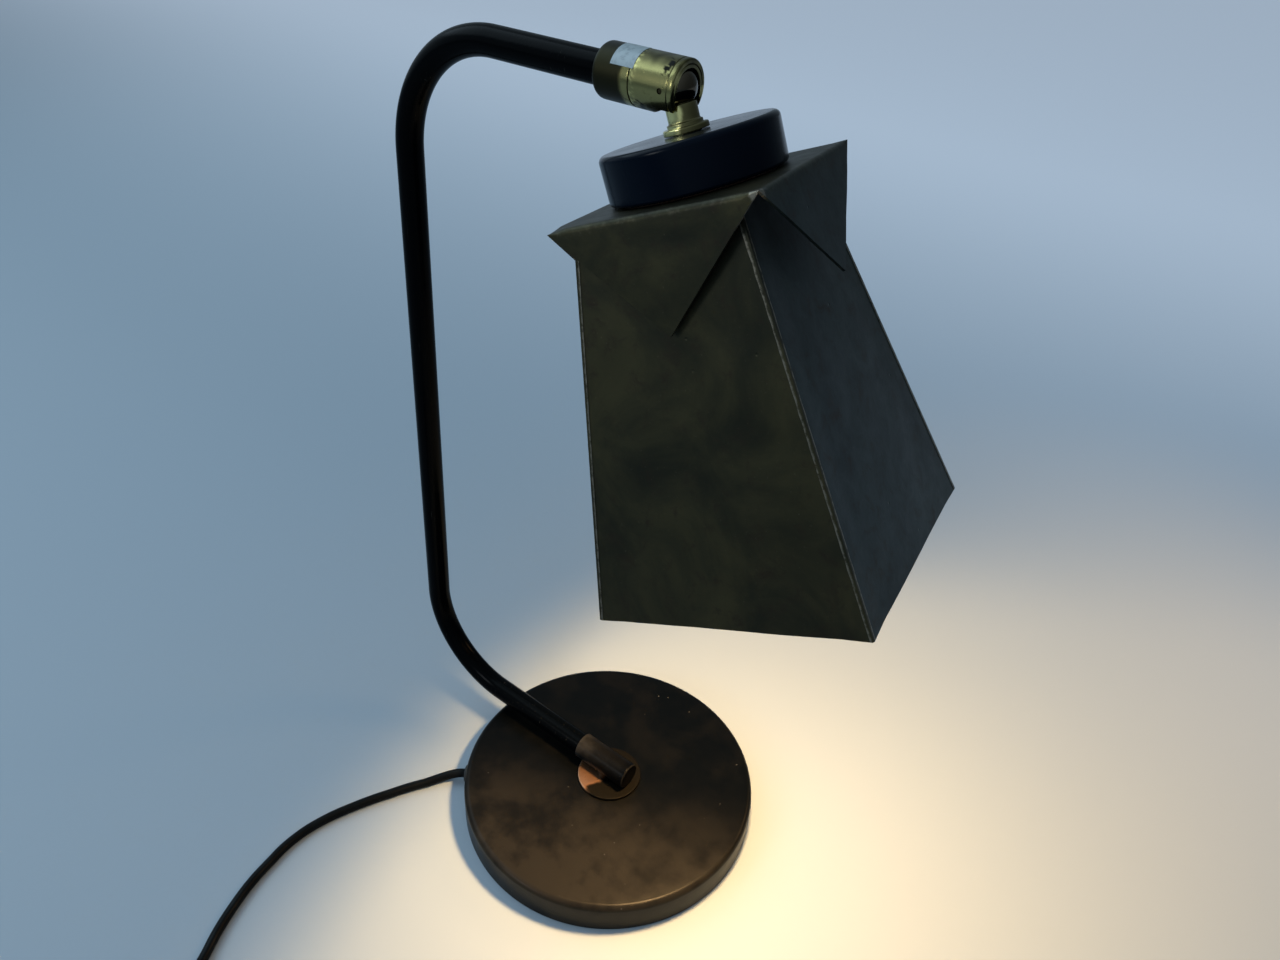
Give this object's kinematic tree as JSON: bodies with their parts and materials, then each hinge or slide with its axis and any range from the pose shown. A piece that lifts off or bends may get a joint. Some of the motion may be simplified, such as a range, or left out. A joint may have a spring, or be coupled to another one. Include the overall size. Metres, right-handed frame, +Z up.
{
  "type": "architect desk lamp",
  "caption": "Desk lamp with a round weighted foot, a bent tube arm, a brass swivel-ball joint and a square metal shade with folded flaps, with a switched cord and plug.",
  "frame": {"origin": "centre of the underside of the foot's felt pad, where it rests on the table", "axes": "+Z up; the arm is bent in the plane y = 0, with its upright on the -X side and the head on the +X side"},
  "size_m": [0.2741, 0.3974, 0.3962],
  "materials": {
    "black_lacquer": "satin",
    "cast_iron": "matte",
    "zinc_steel": "satin",
    "felt": "matte",
    "copper_brass": "satin",
    "joint_brass": "satin",
    "dark_brass": "satin",
    "patina_sheet": "satin",
    "black_gloss": "gloss",
    "fibre": "matte",
    "holder_plastic": "satin",
    "porcelain": "gloss",
    "opal_glass": "satin",
    "wire_sleeve": "matte",
    "cord_rubber": "satin",
    "grommet_rubber": "matte",
    "switch_plastic": "satin"
  },
  "bodies": {
    "base": {"arm_end_nipple": "zinc_steel", "arm_tube": "black_lacquer", "arm_wire": "wire_sleeve", "base_shell": "black_lacquer", "base_weight": "cast_iron", "bottom_plate": "zinc_steel", "clamp_screw_1": "zinc_steel", "clamp_screw_2": "zinc_steel", "cord_clamp": "holder_plastic", "cord_coil": "cord_rubber", "cord_grommet": "grommet_rubber", "cord_to_coil": "cord_rubber", "cord_to_plug": "cord_rubber", "cord_to_switch": "cord_rubber", "felt_pad": "felt", "foot_nipple": "zinc_steel", "foot_nut": "zinc_steel", "foot_sleeve": "black_lacquer", "foot_washer": "copper_brass", "inner_lead": "cord_rubber", "lock_ring": "joint_brass", "lock_washer": "zinc_steel", "plate_screw_1": "zinc_steel", "plate_screw_2": "zinc_steel", "plate_screw_3": "zinc_steel", "plug_body": "switch_plastic", "plug_pin_1": "zinc_steel", "plug_pin_2": "zinc_steel", "switch_base": "switch_plastic", "switch_cover": "switch_plastic", "terminal_block": "porcelain"},
    "joint": {"joint_collar": "dark_brass", "joint_housing": "joint_brass", "side_screw": "dark_brass", "friction_spring": "zinc_steel", "friction_cup": "joint_brass"},
    "ball": {"ball": "dark_brass"},
    "head": {"neck": "joint_brass", "cap": "black_gloss", "cap_ring": "fibre", "crown_plate": "patina_sheet", "shade_panel_right": "patina_sheet", "shade_panel_back": "patina_sheet", "shade_panel_left": "patina_sheet", "shade_panel_front": "patina_sheet", "clamp_disc": "zinc_steel", "neck_nut": "joint_brass", "holder_cap": "holder_plastic", "holder_skirt": "holder_plastic", "holder_insert": "porcelain", "socket_shell": "joint_brass", "centre_contact": "joint_brass", "bulb_tip": "zinc_steel", "bulb_cap": "zinc_steel", "bulb_glass": "opal_glass", "head_wire": "wire_sleeve"},
    "rocker": {"switch_rocker": "switch_plastic"}
  },
  "joints": [
    {"name": "joint_turn", "type": "hinge", "parent": "base", "child": "joint", "pos_m": [0.00981, 0, 0.38659], "axis": [1, 0, 0], "range_deg": [-91.5, 88.5]},
    {"name": "head_tilt", "type": "hinge", "parent": "joint", "child": "ball", "pos_m": [0.00981, 0, 0.38659], "axis": [0, -0.9997, -0.0262], "range_deg": [-22.2, 67.8]},
    {"name": "head_spin", "type": "hinge", "parent": "ball", "child": "head", "pos_m": [0.00981, 0, 0.38659], "axis": [0.3778, 0.0242, -0.9256], "range_deg": [-170, 170]},
    {"name": "switch_rock", "type": "hinge", "parent": "base", "child": "rocker", "pos_m": [-0.0603, -0.2423, 0.0116], "axis": [0.8599, 0.5105, 0], "range_deg": [-14, 0]}
  ]
}
